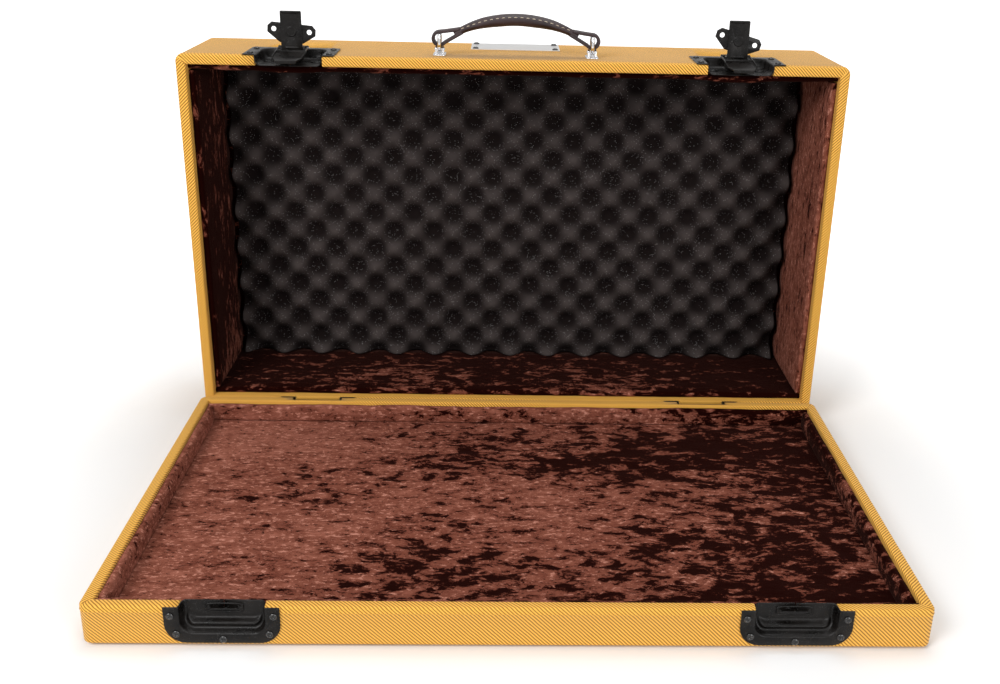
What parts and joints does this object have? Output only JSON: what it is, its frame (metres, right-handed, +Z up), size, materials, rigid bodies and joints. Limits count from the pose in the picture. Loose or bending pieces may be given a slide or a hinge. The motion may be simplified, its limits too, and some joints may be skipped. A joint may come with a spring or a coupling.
{
  "type": "guitar pedal case",
  "caption": "Tweed-covered hard case for guitar effect pedals, standing open: velvet-lined tray, deep lid with egg-crate foam, draw latches, leather handle.",
  "frame": {"origin": "centre of the open case's bounding box, on the floor under the feet", "axes": "+X to the right across the case's width, +Y to the back where the lid stands, +Z up"},
  "size_m": [0.8, 0.6244, 0.529],
  "materials": {
    "tweed_cover": "matte",
    "plywood": "matte",
    "crushed_velvet": "matte",
    "foam": "matte",
    "foot_rubber": "matte",
    "brushed_plate": "satin",
    "leather": "satin",
    "chrome": "polished",
    "black_hardware": "satin"
  },
  "bodies": {
    "base": {"base_frame": "tweed_cover", "base_bottom": "plywood", "base_floor_pad": "crushed_velvet", "base_pad_front": "crushed_velvet", "base_pad_back": "crushed_velvet", "base_pad_left": "crushed_velvet", "base_pad_right": "crushed_velvet", "left_keeper_dish": "black_hardware", "right_keeper_dish": "black_hardware", "keeper_screws": "black_hardware", "feet": "foot_rubber", "foot_screws": "chrome", "left_hinge_dish": "black_hardware", "right_hinge_dish": "black_hardware", "hinge_pins": "chrome", "hinge_dish_screws": "black_hardware"},
    "lid": {"lid_frame": "tweed_cover", "lid_panel": "plywood", "lid_lining": "crushed_velvet", "lid_foam": "foam", "lid_pad_front": "crushed_velvet", "lid_pad_rear": "crushed_velvet", "lid_pad_left": "crushed_velvet", "lid_pad_right": "crushed_velvet", "left_latch_dish": "black_hardware", "right_latch_dish": "black_hardware", "latch_screws": "black_hardware", "latch_rivets": "black_hardware", "left_pivot_block": "black_hardware", "right_pivot_block": "black_hardware", "left_hinge_leaf": "black_hardware", "right_hinge_leaf": "black_hardware", "hinge_leaf_screws": "black_hardware", "nameplate": "brushed_plate", "nameplate_screws": "black_hardware", "handle_brackets": "chrome", "handle_bracket_screws": "chrome", "handle_pins": "chrome"},
    "left_lever": {"left_lever": "black_hardware", "left_pivot_pin": "chrome", "left_link_pin": "chrome", "left_lock_rivet": "black_hardware"},
    "left_link": {"left_link": "black_hardware"},
    "left_lock_plate": {"left_lock_plate": "black_hardware"},
    "right_lever": {"right_lever": "black_hardware", "right_pivot_pin": "chrome", "right_link_pin": "chrome", "right_lock_rivet": "black_hardware"},
    "right_link": {"right_link": "black_hardware"},
    "right_lock_plate": {"right_lock_plate": "black_hardware"},
    "handle": {"handle_grip": "leather", "handle_bails": "chrome"}
  },
  "joints": [
    {"name": "lid_hinge", "type": "hinge", "parent": "base", "child": "lid", "pos_m": [0, 0.14125, 0.029], "axis": [1, 0, 0], "range_deg": [0, 90]},
    {"name": "left_lever_swing", "type": "hinge", "parent": "lid", "child": "left_lever", "pos_m": [-0.268, 0.19775, 0.4745], "axis": [1, 0, 0], "range_deg": [-90, 0]},
    {"name": "left_link_swing", "type": "hinge", "parent": "left_lever", "child": "left_link", "pos_m": [-0.268, 0.19952, 0.48281], "axis": [1, 0, 0], "range_deg": [0, 83.84]},
    {"name": "left_lock_swivel", "type": "hinge", "parent": "left_lever", "child": "left_lock_plate", "pos_m": [-0.268, 0.1906, 0.5035], "axis": [0, -1, 0], "range_deg": [-15, 25]},
    {"name": "right_lever_swing", "type": "hinge", "parent": "lid", "child": "right_lever", "pos_m": [0.268, 0.19775, 0.4745], "axis": [1, 0, 0], "range_deg": [-90, 0]},
    {"name": "right_link_swing", "type": "hinge", "parent": "right_lever", "child": "right_link", "pos_m": [0.268, 0.19952, 0.48281], "axis": [1, 0, 0], "range_deg": [0, 83.84]},
    {"name": "right_lock_swivel", "type": "hinge", "parent": "right_lever", "child": "right_lock_plate", "pos_m": [0.268, 0.1906, 0.5035], "axis": [0, -1, 0], "range_deg": [-4, 36]},
    {"name": "handle_swing", "type": "hinge", "parent": "lid", "child": "handle", "pos_m": [0, 0.19575, 0.486], "axis": [1, 0, 0], "range_deg": [-30, 30]}
  ],
  "couplings": [
    {"joint": "left_link_swing", "follows": "left_lever_swing", "ratio": -0.93044},
    {"joint": "right_link_swing", "follows": "right_lever_swing", "ratio": -0.93044}
  ]
}
